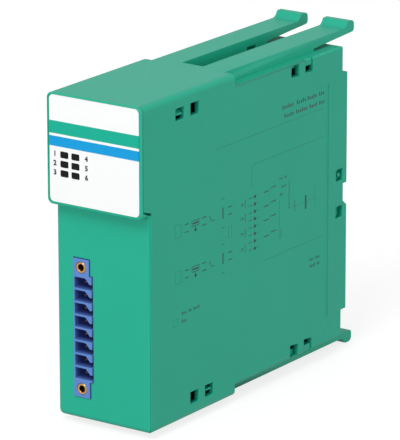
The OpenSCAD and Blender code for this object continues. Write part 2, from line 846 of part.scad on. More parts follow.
module coupler(i) color("#18191c") place()
    chip(coupler_y, coupler_z + i * coupler_pitch, coupler_l, coupler_w, coupler_h, 3, coupler_leg_pitch);

module controller_chip() color("#18191c") place()
    chip(transformer_y - controller_ahead, coupler_z + controller_rise,
         controller_w, controller_w, controller_h, 9, controller_leg_pitch);

module converter_chip() color("#18191c") place()
    chip(transformer_y, coupler_z + converter_rise,
         converter_l, converter_w, converter_h, 8, converter_leg_pitch);

// An electrolytic can that stands on the board, with a bead near its foot
module capacitor(i) color("#26384f") place()
    translate([board_face, cap_y + i * cap_pitch, cap_z]) rotate([0, 90, 0])
        rotate_extrude() polygon([
            [0, 0], [cap_r - cap_edge, 0], [cap_r, cap_edge],
            [cap_r, cap_bead_z - cap_bead_w], [cap_r - cap_bead_d, cap_bead_z],
            [cap_r, cap_bead_z + cap_bead_w],
            [cap_r, cap_h - cap_edge], [cap_r - cap_edge, cap_h], [0, cap_h]
        ]);

// Where the contacts of the rear plug sit, in two rows
function contact_at(row, i) = [
    plug_mid_x + (row - 0.5) * plug_w / 2,
    mid_z + (i - (contacts_per_row - 1) / 2) * contact_pitch
];

module rear_plug() color("#2b2d31") place() difference() {
    tip = body_d + plug_reach;
    well = contact_t + 2 * contact_room;
    bore = contact_t + 2 * pin_clearance;
    span([board_face, plug_back, mid_z - plug_len / 2], [board_face + plug_w, tip, mid_z + plug_len / 2]);
    for (row = [0, 1], i = [0:contacts_per_row - 1]) {
        p = contact_at(row, i);
        translate([p[0], tip, p[1]]) cube([well, 2 * contact_well_d, well], center = true);
        translate([p[0], body_d, p[1]]) cube([bore, 3 * plug_d, bore], center = true);
    }
}

// The rear contacts are one set of separate blades, each with a leg down to the board
module rear_contacts() color("#c9a545") place()
    for (row = [0, 1], i = [0:contacts_per_row - 1]) {
        p = contact_at(row, i);
        t = contact_t / 2;
        y0 = plug_back - contact_tail - row * contact_row_step;
        span([p[0] - t, y0, p[1] - t], [p[0] + t, body_d + plug_reach - contact_recess, p[1] + t]);
        span([board_face, y0, p[1] - t], [p[0] + t, y0 + contact_t, p[1] + t]);
    }

housing_shell();
side_cover();
front_label();
light_guide(0);  // light_guide_1
light_guide(1);  // light_guide_2
light_guide(2);  // light_guide_3
light_guide(3);  // light_guide_4
light_guide(4);  // light_guide_5
light_guide(5);  // light_guide_6
status_lamp(0);  // status_lamp_1
status_lamp(1);  // status_lamp_2
status_lamp(2);  // status_lamp_3
status_lamp(3);  // status_lamp_4
status_lamp(4);  // status_lamp_5
status_lamp(5);  // status_lamp_6
lamp_board();
header_body();
header_pin(0);  // header_pin_1
header_pin(1);  // header_pin_2
header_pin(2);  // header_pin_3
header_pin(3);  // header_pin_4
header_pin(4);  // header_pin_5
header_pin(5);  // header_pin_6
header_pin(6);  // header_pin_7
header_pin(7);  // header_pin_8
screw_insert(1);  // upper_screw_insert
screw_insert(-1);  // lower_screw_insert
main_board();
transformer_core();
transformer_bobbin();
transformer_winding();
coupler(0);  // coupler_1
coupler(1);  // coupler_2
coupler(2);  // coupler_3
coupler(3);  // coupler_4
controller_chip();
converter_chip();
capacitor(0);  // capacitor_1
capacitor(1);  // capacitor_2
rear_plug();
rear_contacts();
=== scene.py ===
"""Dresses the plug-in signal isolator.

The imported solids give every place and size. Here the mouldings get soft edges, the label its
bands and lamp numbers, the side its printed block diagram, the header its threaded brass
inserts, and every piece the finish of what it is made of. A plain studio stands around it.
"""
import logging
import math
from contextlib import contextmanager
from dataclasses import dataclass, field
from enum import Enum
from typing import Callable, Iterator, Sequence

import bmesh
import bpy
from mathutils import Matrix, Vector


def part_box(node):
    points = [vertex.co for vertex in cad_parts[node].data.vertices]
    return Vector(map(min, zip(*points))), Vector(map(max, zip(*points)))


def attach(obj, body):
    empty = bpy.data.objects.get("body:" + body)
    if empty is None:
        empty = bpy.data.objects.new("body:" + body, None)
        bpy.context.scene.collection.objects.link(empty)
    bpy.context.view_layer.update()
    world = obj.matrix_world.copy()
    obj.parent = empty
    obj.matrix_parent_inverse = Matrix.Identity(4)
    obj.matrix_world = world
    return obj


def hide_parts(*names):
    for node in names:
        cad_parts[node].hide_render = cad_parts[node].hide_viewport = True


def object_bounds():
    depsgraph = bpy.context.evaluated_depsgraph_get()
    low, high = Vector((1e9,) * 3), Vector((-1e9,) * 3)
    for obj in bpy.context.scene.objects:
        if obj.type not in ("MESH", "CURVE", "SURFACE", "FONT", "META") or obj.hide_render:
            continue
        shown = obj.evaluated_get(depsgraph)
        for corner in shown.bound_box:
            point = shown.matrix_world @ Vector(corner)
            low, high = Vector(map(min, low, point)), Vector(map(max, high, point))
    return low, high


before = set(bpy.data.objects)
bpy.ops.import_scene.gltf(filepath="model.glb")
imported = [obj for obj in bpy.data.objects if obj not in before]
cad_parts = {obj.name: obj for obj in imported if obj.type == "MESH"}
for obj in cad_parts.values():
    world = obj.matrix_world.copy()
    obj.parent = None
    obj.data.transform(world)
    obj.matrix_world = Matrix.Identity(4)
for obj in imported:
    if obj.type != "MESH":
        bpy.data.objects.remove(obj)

LOG = logging.getLogger("signal_isolator")
MM = 0.001
BODY = "root"
CAD_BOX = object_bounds()
LAMPS = range(1, 7)
PINS = range(1, 9)
Tree = bpy.types.NodeTree
Socket = bpy.types.NodeSocket
Material = bpy.types.Material
Object = bpy.types.Object
Edge = bmesh.types.BMEdge
Inputs = dict[str | int, object]
Colour = tuple[float, float, float, float]
Point = tuple[float, float]


class Slot(Enum):
    """Material slots of the record, one for each kind of new piece."""

    HOUSING = "green_housing"
    FILM = "label_film"
    GUIDE = "smoked_guide"
    HEADER = "blue_header"
    PIN = "tinned_pin"
    BRASS = "brass"
    PLUG = "black_moulding"
    CONTACT = "gold_contact"


class Pick(Enum):
    """What is picked in edit mode."""

    VERTS = "VERT"
    EDGES = "EDGE"


# Small helpers for colours and nodes

def linear(hex_colour: str) -> Colour:
    """Turns an sRGB colour such as "#2fa98b" into linear red, green, blue and alpha."""
    channels = [int(hex_colour[i:i + 2], 16) / 255 for i in (1, 3, 5)]
    light = [c / 12.92 if c <= 0.04045 else ((c + 0.055) / 1.055) ** 2.4 for c in channels]
    return (light[0], light[1], light[2], 1.0)


def per_metre(size_mm: float) -> float:
    """Gives the texture scale whose features are about this many millimetres wide."""
    return 1 / (size_mm * MM)


def fill(tree: Tree, node: bpy.types.Node, inputs: Inputs) -> None:
    """Sets a node's inputs, or links those that are given as an output socket.

    Args:
        tree: Node tree that holds the node.
        node: Node to fill.
        inputs: Input name or number, with the value or the output socket that it takes.
    """
    for key, value in inputs.items():
        if isinstance(value, Socket):
            tree.links.new(value, node.inputs[key])
        else:
            node.inputs[key].default_value = value


def add(tree: Tree, kind: str, inputs: Inputs | None = None, **settings: object) -> bpy.types.Node:
    """Adds one node, sets its properties and fills its inputs.

    Args:
        tree: Node tree that takes the node.
        kind: Node type, such as "ShaderNodeMath".
        inputs: Input name or number, with the value or the output socket that it takes.
        **settings: Properties of the node.

    Returns:
        The new node.
    """
    node = tree.nodes.new(kind)
    for name, value in settings.items():
        setattr(node, name, value)
    fill(tree, node, inputs or {})
    return node


def noise(tree: Tree, place: Socket, size_mm: float, detail: float = 2.0) -> Socket:
    """Adds an uneven pattern whose spots are about this many millimetres wide."""
    inputs = {"Vector": place, "Scale": per_metre(size_mm), "Detail": detail}
    return add(tree, "ShaderNodeTexNoise", inputs).outputs["Fac"]


def wave(tree: Tree, place: Socket, size_mm: float, distortion: float, **settings: str) -> Socket:
    """Adds a pattern of waves; they come out about six times as wide as given, so that they show."""
    inputs = {"Vector": place, "Scale": per_metre(size_mm) / 20, "Distortion": distortion}
    return add(tree, "ShaderNodeTexWave", inputs, **settings).outputs["Fac"]


def calc(tree: Tree, operation: str, first: Socket, second: Socket | float) -> Socket:
    """Adds one step of arithmetic."""
    return add(tree, "ShaderNodeMath", {0: first, 1: second}, operation=operation).outputs["Value"]


def spread(tree: Tree, pattern: Socket, middle: float, sway: float) -> Socket:
    """Turns an uneven pattern into a value that sways round a middle."""
    inputs = {"Value": pattern, "From Min": 0.3, "From Max": 0.7,
              "To Min": middle - sway, "To Max": middle + sway}
    return add(tree, "ShaderNodeMapRange", inputs).outputs["Result"]


def rise(tree: Tree, value: Socket, start: float, end: float) -> Socket:
    """Gives 0 up to the start, 1 from the end on and a slope between them."""
    inputs = {"Value": value, "From Min": start, "From Max": end}
    return add(tree, "ShaderNodeMapRange", inputs).outputs["Result"]


def blend(tree: Tree, share: Socket, first: Colour | Socket, second: Colour) -> Socket:
    """Mixes two colours by a share from 0 to 1; 6, 7 and 2 are the mixer's colour sockets."""
    mixer = add(tree, "ShaderNodeMix", {"Factor": share, 6: first, 7: second}, data_type="RGBA")
    return mixer.outputs[2]


def relief(tree: Tree, height: Socket, depth_mm: float, strength: float) -> Socket:
    """Turns a pattern into a fine relief and gives its normal."""
    inputs = {"Height": height, "Strength": strength, "Distance": depth_mm * MM}
    return add(tree, "ShaderNodeBump", inputs).outputs["Normal"]


def along_axis(tree: Tree, place: Socket, axis: str) -> Socket:
    """Gives one coordinate of a place, by the axis's capital letter."""
    return add(tree, "ShaderNodeSeparateXYZ", {"Vector": place}).outputs[axis]


def blank(name: str) -> tuple[Material, Tree, Socket]:
    """Starts a node material, and gives it with its node tree and the place on the object."""
    made = bpy.data.materials.new(name)
    made.use_nodes = True
    tree = made.node_tree
    return made, tree, add(tree, "ShaderNodeTexCoord").outputs["Object"]


def finished(made: Material, inputs: Inputs) -> Material:
    """Fills the inputs of a material's shader, and gives the material back."""
    fill(made.node_tree, made.node_tree.nodes["Principled BSDF"], inputs)
    return made


# Small helpers that model as by hand

def deselect_all() -> None:
    """Clears the selection, so that the next operator acts on nothing else."""
    for obj in bpy.context.selected_objects:
        obj.select_set(False)


def activate(*objects: Object) -> Object:
    """Selects these objects alone, makes the first one active and gives it back."""
    deselect_all()
    for obj in objects:
        obj.select_set(True)
    bpy.context.view_layer.objects.active = objects[0]
    return objects[0]


@contextmanager
def editing(obj: Object, pick: Pick = Pick.VERTS) -> Iterator[bmesh.types.BMesh]:
    """Opens an object in edit mode with nothing selected.

    Args:
        obj: Mesh object to edit.
        pick: What is selected.

    Yields:
        The edit mesh, for selecting by place or normal.
    """
    activate(obj)
    bpy.ops.object.mode_set(mode="EDIT")
    bpy.ops.mesh.select_mode(type=pick.value)
    bpy.ops.mesh.select_all(action="DESELECT")
    yield bmesh.from_edit_mesh(obj.data)
    bpy.ops.object.mode_set(mode="OBJECT")


def weld(apart_mm: float = 0.0005) -> None:
    """Merges points of the mesh in edit mode that lie closer together than this."""
    bpy.ops.mesh.select_all(action="SELECT")
    bpy.ops.mesh.remove_doubles(threshold=apart_mm * MM)


def apply_modifiers(obj: Object) -> None:
    """Applies all of an object's modifiers in their order."""
    activate(obj)
    for modifier in list(obj.modifiers):
        bpy.ops.object.modifier_apply(modifier=modifier.name)


def apply_place(obj: Object) -> None:
    """Puts an object's place, turn and scale into its mesh."""
    activate(obj)
    bpy.ops.object.transform_apply(location=True, rotation=True, scale=True)


def joined(objects: Sequence[Object], name: str) -> Object:
    """Joins several meshes into one named piece."""
    piece = activate(*objects)
    bpy.ops.object.join()
    piece.name = piece.data.name = name
    return piece


def dress(obj: Object, material: Material) -> None:
    """Gives an object one material."""
    obj.data.materials.clear()
    obj.data.materials.append(material)


def seat(piece: Object, slot: Slot, material: Material, *nodes: str) -> None:
    """Finishes a new piece: its material, its body and the nodes it stands for.

    Args:
        piece: Finished mesh object.
        slot: Material slot of the record; not used.
        material: Material of the piece.
        *nodes: Nodes that the piece replaces; they take its material too.
    """
    dress(piece, material)
    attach(piece, BODY)
    for node in nodes:
        dress(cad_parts[node], material)
    if nodes:
        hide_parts(*nodes)
    LOG.info("%s: %d faces", piece.name, len(piece.data.polygons))


def merged_copy(node: str, name: str) -> Object:
    """Copies a node's solid as one closed mesh with whole flat faces.

    Args:
        node: Node to copy.
        name: Name of the copy.

    Returns:
        The copy, at the origin.
    """
    flat = math.radians(0.4)
    copy = bpy.data.objects.new(name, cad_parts[node].data.copy())
    copy.data.name = name
    bpy.context.scene.collection.objects.link(copy)
    with editing(copy):
        weld()
        bpy.ops.mesh.dissolve_limited(angle_limit=flat)
    return copy


def block(low: Vector, high: Vector) -> Object:
    """Adds a box between its lowest and its highest corner, with place and size in its mesh."""
    deselect_all()
    bpy.ops.mesh.primitive_cube_add(size=1, location=(low + high) / 2)
    box = bpy.context.object
    box.scale = high - low
    apply_place(box)
    return box


def midpoint(edge: Edge) -> Vector:
    """Gives the middle of an edge."""
    return (edge.verts[0].co + edge.verts[1].co) / 2


def round_edges(obj: Object, chosen: Callable[[Vector], bool], radius_mm: float, segments: int) -> None:
    """Rounds the edges of an object whose middles are chosen.

    Args:
        obj: Mesh object to round.
        chosen: Says of an edge's middle whether that edge is rounded.
        radius_mm: Radius of the rounding.
        segments: Steps of the rounding.
    """
    with editing(obj, Pick.EDGES) as mesh:
        for edge in mesh.edges:
            edge.select_set(chosen(midpoint(edge)))
        bmesh.update_edit_mesh(obj.data)
        bpy.ops.mesh.bevel(offset=radius_mm * MM, segments=segments, affect="EDGES")


def cut(piece: Object, tool: Object) -> None:
    """Takes a tool's volume out of a piece."""
    boolean = piece.modifiers.new("cut", "BOOLEAN")
    boolean.operation = "DIFFERENCE"
    boolean.solver = "EXACT"
    boolean.object = tool
    apply_modifiers(piece)


def edge_beside(loop: bmesh.types.BMLoop, vert: bmesh.types.BMVert) -> Edge:
    """Finds the edge that meets a face's edge at one end, past edges that only split a flat face.

    Args:
        loop: The edge as the face has it.
        vert: End of the edge.

    Returns:
        The neighbouring edge.
    """
    flat = math.radians(1)
    near = loop.link_loop_next if loop.link_loop_next.vert == vert else loop.link_loop_prev
    while near.edge.is_manifold and near.edge.calc_face_angle() < flat:
        across = near.link_loop_radial_next
        near = across.link_loop_next if across.link_loop_next.vert == vert else across.link_loop_prev
    return near.edge


def is_tight(edge: Edge, chosen: set[Edge], reach: float) -> bool:
    """Says whether an edge lacks the room for a rounding.

    Args:
        edge: Edge to test.
        chosen: Edges that are to be rounded.
        reach: Least length of a neighbour that the rounding runs into.

    Returns:
        Whether the edge should stay sharp.
    """
    smooth = math.radians(30)
    for loop in edge.link_loops:
        corners = 0
        for vert in edge.verts:
            near = edge_beside(loop, vert)
            here, onward = (each.other_vert(vert).co - vert.co for each in (edge, near))
            if math.pi - here.angle(onward) < smooth:
                if near not in chosen:
                    return True
            elif near.calc_length() < reach:
                return True
            else:
                corners += 1
        if corners == len(edge.verts) and edge.calc_length() < reach:
            return True
    return False


def roomy(edges: set[Edge], width: float) -> set[Edge]:
    """Keeps the edges that have room for a rounding.

    A rounding needs neighbours a good deal longer than it is wide, and edges that run on smoothly
    are rounded all together or not at all.

    Args:
        edges: Edges that could be rounded.
        width: Width of the rounding in metres.

    Returns:
        The edges that stay.
    """
    reach = 2.2 * width
    while tight := {edge for edge in edges if is_tight(edge, edges, reach)}:
        edges = edges - tight
    return edges


def soften(
    piece: Object,
    width_mm: float,
    segments: int = 2,
    keep_sharp: Callable[[Vector], bool] = lambda middle: False,
) -> None:
    """Rounds the sharp edges of a moulding a little, wherever there is room.

    Args:
        piece: Mesh object to soften.
        width_mm: Width of the rounding.
        segments: Steps of the rounding.
        keep_sharp: Says of an edge's middle whether that edge stays sharp.
    """
    crease, shade = math.radians(32), math.radians(38)
    with editing(piece) as mesh:
        weight = mesh.edges.layers.float.new("bevel_weight_edge")
        creased = {edge for edge in mesh.edges if edge.is_manifold and edge.calc_face_angle() > crease}
        sharp = roomy({edge for edge in creased if not keep_sharp(midpoint(edge))}, width_mm * MM)
        for edge in mesh.edges:
            edge[weight] = float(edge in sharp)
    bevel = piece.modifiers.new("soft edges", "BEVEL")
    bevel.limit_method = "WEIGHT"
    bevel.width = width_mm * MM
    bevel.segments = segments
    bevel.use_clamp_overlap = False
    apply_modifiers(piece)
    bpy.ops.object.shade_smooth_by_angle(angle=shade)
    even = piece.modifiers.new("even shading", "WEIGHTED_NORMAL")
    even.keep_sharp = True
    even.weight = 100
    apply_modifiers(piece)


# Finishes

@dataclass(frozen=True)
class MouldedPlastic:
    """Injection-moulded plastic with a fine eroded grain.

    The grain breaks up the gloss into a soft sheen and swallows part of it, and the flow of the
    melt leaves the colour very slightly uneven. The real grain is about 0.05 mm and is drawn
    coarser so that it shows.
    """

    name: str
    colour: str
    roughness: float
    ior: float = 1.53
    gloss_level: float = 0.5
    gloss_spread: float = 0.05
    grain_mm: float = 0.35
    grain_depth_mm: float = 0.012
    grain_strength: float = 0.35
    flow_mm: float = 22.0
    flow_tint: str = "#129075"
    flow_share: float = 0.10

    def material(self) -> Material:
        """Builds the node material."""
        made, tree, place = blank(self.name)
        half = self.flow_share / 2
        share = spread(tree, noise(tree, place, self.flow_mm), half, half)
        grain = noise(tree, place, self.grain_mm, 3.0)
        return finished(made, {
            "Base Color": blend(tree, share, linear(self.colour), linear(self.flow_tint)),
            "Roughness": spread(tree, grain, self.roughness, self.gloss_spread),
            "Normal": relief(tree, grain, self.grain_depth_mm, self.grain_strength),
            "IOR": self.ior,
            "Specular IOR Level": self.gloss_level,
        })


@dataclass(frozen=True)
class PocketedPlastic(MouldedPlastic):
    """Moulded plastic with narrow pockets and painted shade: the colour turns deeper blue behind the front
    face, where little light gets in.
    """

    front: float = 0.0
    pocket_mm: float = 2.2
    pocket_tint: str = "#3a4a94"

    def material(self) -> Material:
        """Builds the node material, with painted shade that darkens it behind the front face."""
        made = super().material()
        tree = made.node_tree
        colour = tree.nodes["Principled BSDF"].inputs["Base Color"].links[0].from_socket
        depth = along_axis(tree, add(tree, "ShaderNodeTexCoord").outputs["Object"], "Y")
        # Painted shade: the blue turns deeper towards the back of the pockets
        share = rise(tree, depth, self.front, self.front + self.pocket_mm * MM)
        return finished(made, {"Base Color": blend(tree, share, colour, linear(self.pocket_tint))})


@dataclass(frozen=True)
class PlatedMetal:
    """Drawn or plated metal: fine draw lines along the wire stretch its highlight."""

    name: str
    colour: str
    roughness: float
    gloss_spread: float = 0.08
    line_mm: float = 0.08
    line_length_mm: float = 3.0
    line_depth_mm: float = 0.01
    line_strength: float = 0.2

    def material(self) -> Material:
        """Builds the node material."""
        made, tree, place = blank(self.name)
        stretch = (1.0, self.line_mm / self.line_length_mm, 1.0)
        along = add(tree, "ShaderNodeMapping", {"Vector": place, "Scale": stretch})
        lines = noise(tree, along.outputs["Vector"], self.line_mm)
        return finished(made, {
            "Base Color": linear(self.colour),
            "Metallic": 1.0,
            "Roughness": spread(tree, lines, self.roughness, self.gloss_spread),
            "Normal": relief(tree, lines, self.line_depth_mm, self.line_strength),
        })


@dataclass(frozen=True)
class TurnedBrass:
    """Turned brass: the tool leaves fine rings round the axis, and painted shade turns the thread inside
    nearly black.
    """

    name: str
    centre: tuple[float, float, float]
    face_mm: float = 0.05
    bright_mm: float = 0.3
    colour: str = "#bd9058"
    bore_colour: str = "#140c06"
    smoothest: float = 0.24
    roughest: float = 0.4
    ring_mm: float = 0.12
    ring_depth_mm: float = 0.01
    ring_strength: float = 0.25

    def material(self) -> Material:
        """Builds the node material."""
        made, tree, place = blank(self.name)
        shift = tuple(-c for c in self.centre)
        centred = add(tree, "ShaderNodeMapping", {"Vector": place, "Location": shift}).outputs["Vector"]
        rings = wave(tree, centred, self.ring_mm, 0.6, wave_type="RINGS", rings_direction="Y")
        gloss = add(tree, "ShaderNodeMapRange",
                    {"Value": rings, "To Min": self.smoothest, "To Max": self.roughest})
        # Painted shade: the bore darkens from its mouth inward
        inside = rise(tree, along_axis(tree, centred, "Y"), self.face_mm * MM, self.bright_mm * MM)
        return finished(made, {
            "Base Color": blend(tree, inside, linear(self.colour), linear(self.bore_colour)),
            "Metallic": 1.0,
            "Roughness": gloss.outputs["Result"],
            "Normal": relief(tree, rings, self.ring_depth_mm, self.ring_strength),
        })


@dataclass(frozen=True)
class Band:
    """One printed band across the label, by its upper edge above the label's lower edge."""

    colour: str
    top_mm: float


@dataclass(frozen=True)
class PrintedFilm:
    """Screen-printed polyester film: an even satin white, with flat ink bands."""

    name: str
    bottom: float
    height: float
    bands: tuple[Band, ...]
    roughness: float = 0.42
    ior: float = 1.57
    gloss_level: float = 0.22
    gloss_spread: float = 0.04
    peel_mm: float = 0.9
    peel_depth_mm: float = 0.01
    peel_strength: float = 0.12

    def material(self) -> Material:
        """Builds the node material."""
        made, tree, place = blank(self.name)
        share = rise(tree, along_axis(tree, place, "Z"), self.bottom, self.bottom + self.height)
        inks = add(tree, "ShaderNodeValToRGB", {"Fac": share})
        ramp = inks.color_ramp
        ramp.interpolation = "CONSTANT"
        ramp.elements.remove(ramp.elements[1])
        ramp.elements[0].color = linear(self.bands[0].colour)
        for lower, band in zip(self.bands, self.bands[1:]):
            stop = ramp.elements.new(lower.top_mm * MM / self.height)
            stop.color = linear(band.colour)
        peel = noise(tree, place, self.peel_mm)
        return finished(made, {
            "Base Color": inks.outputs["Color"],
            "Roughness": spread(tree, peel, self.roughness, self.gloss_spread),
            "Normal": relief(tree, peel, self.peel_depth_mm, self.peel_strength),
            "IOR": self.ior,
            "Specular IOR Level": self.gloss_level,
        })


@dataclass(frozen=True)
class GlassBoard:
    """Glass-cloth board under solder resist: the weave shows as a faint square grid.

    The weave is drawn coarser than it is, so that it shows.
    """

    name: str
    colour: str = "#1d5b3c"
    trace_colour: str = "#2b7a4c"
    roughness: float = 0.32
    ior: float = 1.52
    weave_mm: float = 0.5
    weave_depth_mm: float = 0.02
    weave_strength: float = 0.2
    trace_mm: float = 5.2
    trace_share: float = 0.32

    def material(self) -> Material:
        """Builds the node material."""
        made, tree, place = blank(self.name)
        warp, weft = (wave(tree, place, self.weave_mm, 0.0, wave_type="BANDS", bands_direction=axis)
                      for axis in "YZ")
        cloth = calc(tree, "MULTIPLY", warp, weft)
        traces = add(tree, "ShaderNodeTexVoronoi", {"Vector": place, "Scale": per_metre(self.trace_mm)},
                     distance="MANHATTAN", feature="F1").outputs["Distance"]
        copper = calc(tree, "LESS_THAN", traces, self.trace_share)
        return finished(made, {
            "Base Color": blend(tree, copper, linear(self.colour), linear(self.trace_colour)),
            "Normal": relief(tree, cloth, self.weave_depth_mm, self.weave_strength),
            "Roughness": self.roughness,
            "IOR": self.ior,
        })


@dataclass(frozen=True)
class WoundWire:
    """Enamelled copper wire laid turn beside turn: bright bands across the winding, drawn coarse."""

    name: str
    colour: str = "#b5702c"
    roughness: float = 0.34
    enamel: float = 0.6
    wire_mm: float = 0.45
    wire_depth_mm: float = 0.1
    wire_strength: float = 0.8

    def material(self) -> Material:
        """Builds the node material."""
        made, tree, place = blank(self.name)
        turns = wave(tree, place, self.wire_mm, 0.4, wave_type="BANDS", bands_direction="X")
        return finished(made, {
            "Base Color": linear(self.colour),
            "Metallic": 1.0,
            "Roughness": self.roughness,
            "Coat Weight": self.enamel,
            "Normal": relief(tree, turns, self.wire_depth_mm, self.wire_strength),
        })


class Shop:
    """The finishes of this object, each made once and handed out by name."""

    def __init__(self) -> None:
        """Makes the materials."""
        black = {"flow_tint": "#101114", "flow_share": 0.2}
        # ABS: an even green with a soft sheen
        self.housing = MouldedPlastic("moulded_abs_green", "#1ba98b", 0.5, gloss_level=0.27).material()
        # PBT of the header: satin blue, with painted shade deeper in the pockets
        self.header = PocketedPlastic("moulded_pbt_blue", "#5a82c6", 0.45, gloss_level=0.3, grain_mm=0.2,
                                      flow_tint="#4264b0", front=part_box("header_body")[0].y).material()
        # Smoked polycarbonate: nearly black, smooth and with little gloss
        self.window = MouldedPlastic("smoked_polycarbonate", "#08090b", 0.4, ior=1.585, gloss_level=0.1,
                                     grain_depth_mm=0.003, **black).material()
        # Clear epoxy: a pale, glossy straw colour
        self.lamp = MouldedPlastic("clear_epoxy_lamp", "#e8e2c4", 0.2, flow_tint="#d8cfa2").material()
        # Filled epoxy: a matt charcoal
        self.moulding = MouldedPlastic("filled_epoxy_black", "#191a1d", 0.58, **black).material()
        # PBT of the plug: a satin black
        self.plug = MouldedPlastic("moulded_pbt_black", "#26282c", 0.5, **black).material()
        # Ferrite: dull grey and a little rough, like fired clay
        self.ferrite = MouldedPlastic("sintered_ferrite", "#38383a", 0.72, grain_mm=0.25,
                                      grain_depth_mm=0.03, flow_tint="#2a2a2c").material()
        # Shrunk sleeve: glossy navy with slow ripples
        self.sleeve = MouldedPlastic("shrunk_sleeve_navy", "#26384f", 0.3, grain_mm=1.2,
                                     flow_tint="#1b2a3d").material()
        # Pad-printed ink: flat grey, thin enough for some green to show through
        self.ink = MouldedPlastic("pad_print_ink", "#3f4b4a", 0.7, gloss_level=0.2, grain_mm=0.6,
                                  flow_tint="#3f6a5d", flow_share=0.35).material()
        # Screen ink: a flat, dense dark grey
        self.numbers = MouldedPlastic("screen_ink_dark", "#15181a", 0.5, gloss_level=0.3, grain_mm=0.6,
                                      flow_tint="#2d3033").material()
        # Tin plating: dull, with painted shade: its colour is darkened because it stands deep in the
        # pockets
        self.pin = PlatedMetal("tin_plated_bronze", "#3f3742", 0.5).material()
        # Gold plating: warm, with a narrow bright line
        self.gold = PlatedMetal("gold_plated_bronze", "#d3aa55", 0.26).material()
        self.board = GlassBoard("glass_epoxy_board").material()
        self.winding = WoundWire("enamelled_copper").material()


# Sub-assemblies

@dataclass
class Datum:
    """Places that the print and the camera are measured from, in metres."""

    side_x: float = field(default_factory=lambda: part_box("side_cover")[1].x)
    front_y: float = field(default_factory=lambda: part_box("front_label")[0].y)
    bottom_z: float = field(default_factory=lambda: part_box("side_cover")[0].z)


@dataclass
class Mouldings:
    """The two green mouldings: the hooded shell with its latch arms, and the clipped side cover."""

    shop: Shop
    datum: Datum
    edge_mm: float = 0.2
    seam_mm: float = 0.16
    lower_front_mm: float = 3.7
    corner_mm: float = 1.0
    ledge_mm: float = 2.0
    front_round_mm: float = 1.6
    front_steps: int = 8
    outline_r_mm: float = 1.7
    outline_steps: int = 10
    under_hood_mm: float = 1.0
    clear_mm: float = 0.01
    near_mm: float = 0.1
    room_mm: float = 4.0

    def front_tool(self) -> Object:
        """Makes the tool that rounds the left and lower edges of the lower front.

        A block with those edges rounded is taken out of a larger slab, so that the rest of the
        slab cuts away only what lies outside the rounding. The block stands clear of the walls
        by a hair, so that no two faces share a plane.

        Returns:
            The tool, from just under the hood down past the bottom.
        """
        clear, room, near = self.clear_mm * MM, self.room_mm * MM, self.near_mm * MM
        front = self.datum.front_y + self.lower_front_mm * MM
        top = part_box("front_label")[0].z - self.under_hood_mm * MM
        low = Vector((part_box("housing_shell")[0].x - clear, front - clear, self.datum.bottom_z - clear))
        high = Vector((self.datum.side_x + 2 * room, front + 2 * room, top + room))
        inner = block(low, high)

        def at_corner(middle: Vector) -> bool:
            """Says whether an edge runs along the lower left corner."""
            return abs(middle.x - low.x) < near and abs(middle.z - low.z) < near

        def at_front(middle: Vector) -> bool:
            """Says whether an edge bounds the front face at the left, at the bottom or between them."""
            from_outline = min(middle.x - low.x, middle.z - low.z)
            return abs(middle.y - low.y) < near and from_outline < self.outline_r_mm * MM / 2

        round_edges(inner, at_corner, self.outline_r_mm, self.outline_steps)
        round_edges(inner, at_front, self.front_round_mm, self.front_steps)
        reach = Vector((room, room, room))
        tool = block(low - reach, Vector((high.x - room, high.y - room, top)))
        cut(tool, inner)
        bpy.data.objects.remove(inner)
        return tool

    def build(self) -> None:
        """Rounds the edges of both mouldings, except along the seams between them."""
        seam_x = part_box("side_cover")[0].x
        left_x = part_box("housing_shell")[0].x
        corner_y = self.datum.front_y + self.lower_front_mm * MM
        ledge_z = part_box("front_label")[0].z - self.under_hood_mm * MM

        def stays_sharp(middle: Vector) -> bool:
            """Says whether an edge lies on a seam, at the cheek's corner or on the ledge under the hood."""
            from_front = abs(middle.y - corner_y)
            at_seam = abs(middle.x - seam_x) < self.seam_mm * MM
            at_cheek = max(self.datum.side_x - middle.x, from_front) < self.corner_mm * MM
            at_ledge = (abs(middle.z - ledge_z) < self.edge_mm * MM
                        and max(middle.x - left_x, from_front) < self.ledge_mm * MM)
            return at_seam or at_cheek or at_ledge

        tool = self.front_tool()
        for node, name in (("housing_shell", "housing_moulding"), ("side_cover", "cover_moulding")):
            piece = merged_copy(node, name)
            cut(piece, tool)
            soften(piece, self.edge_mm, keep_sharp=stays_sharp)
            seat(piece, Slot.HOUSING, self.shop.housing, node)
        bpy.data.objects.remove(tool)


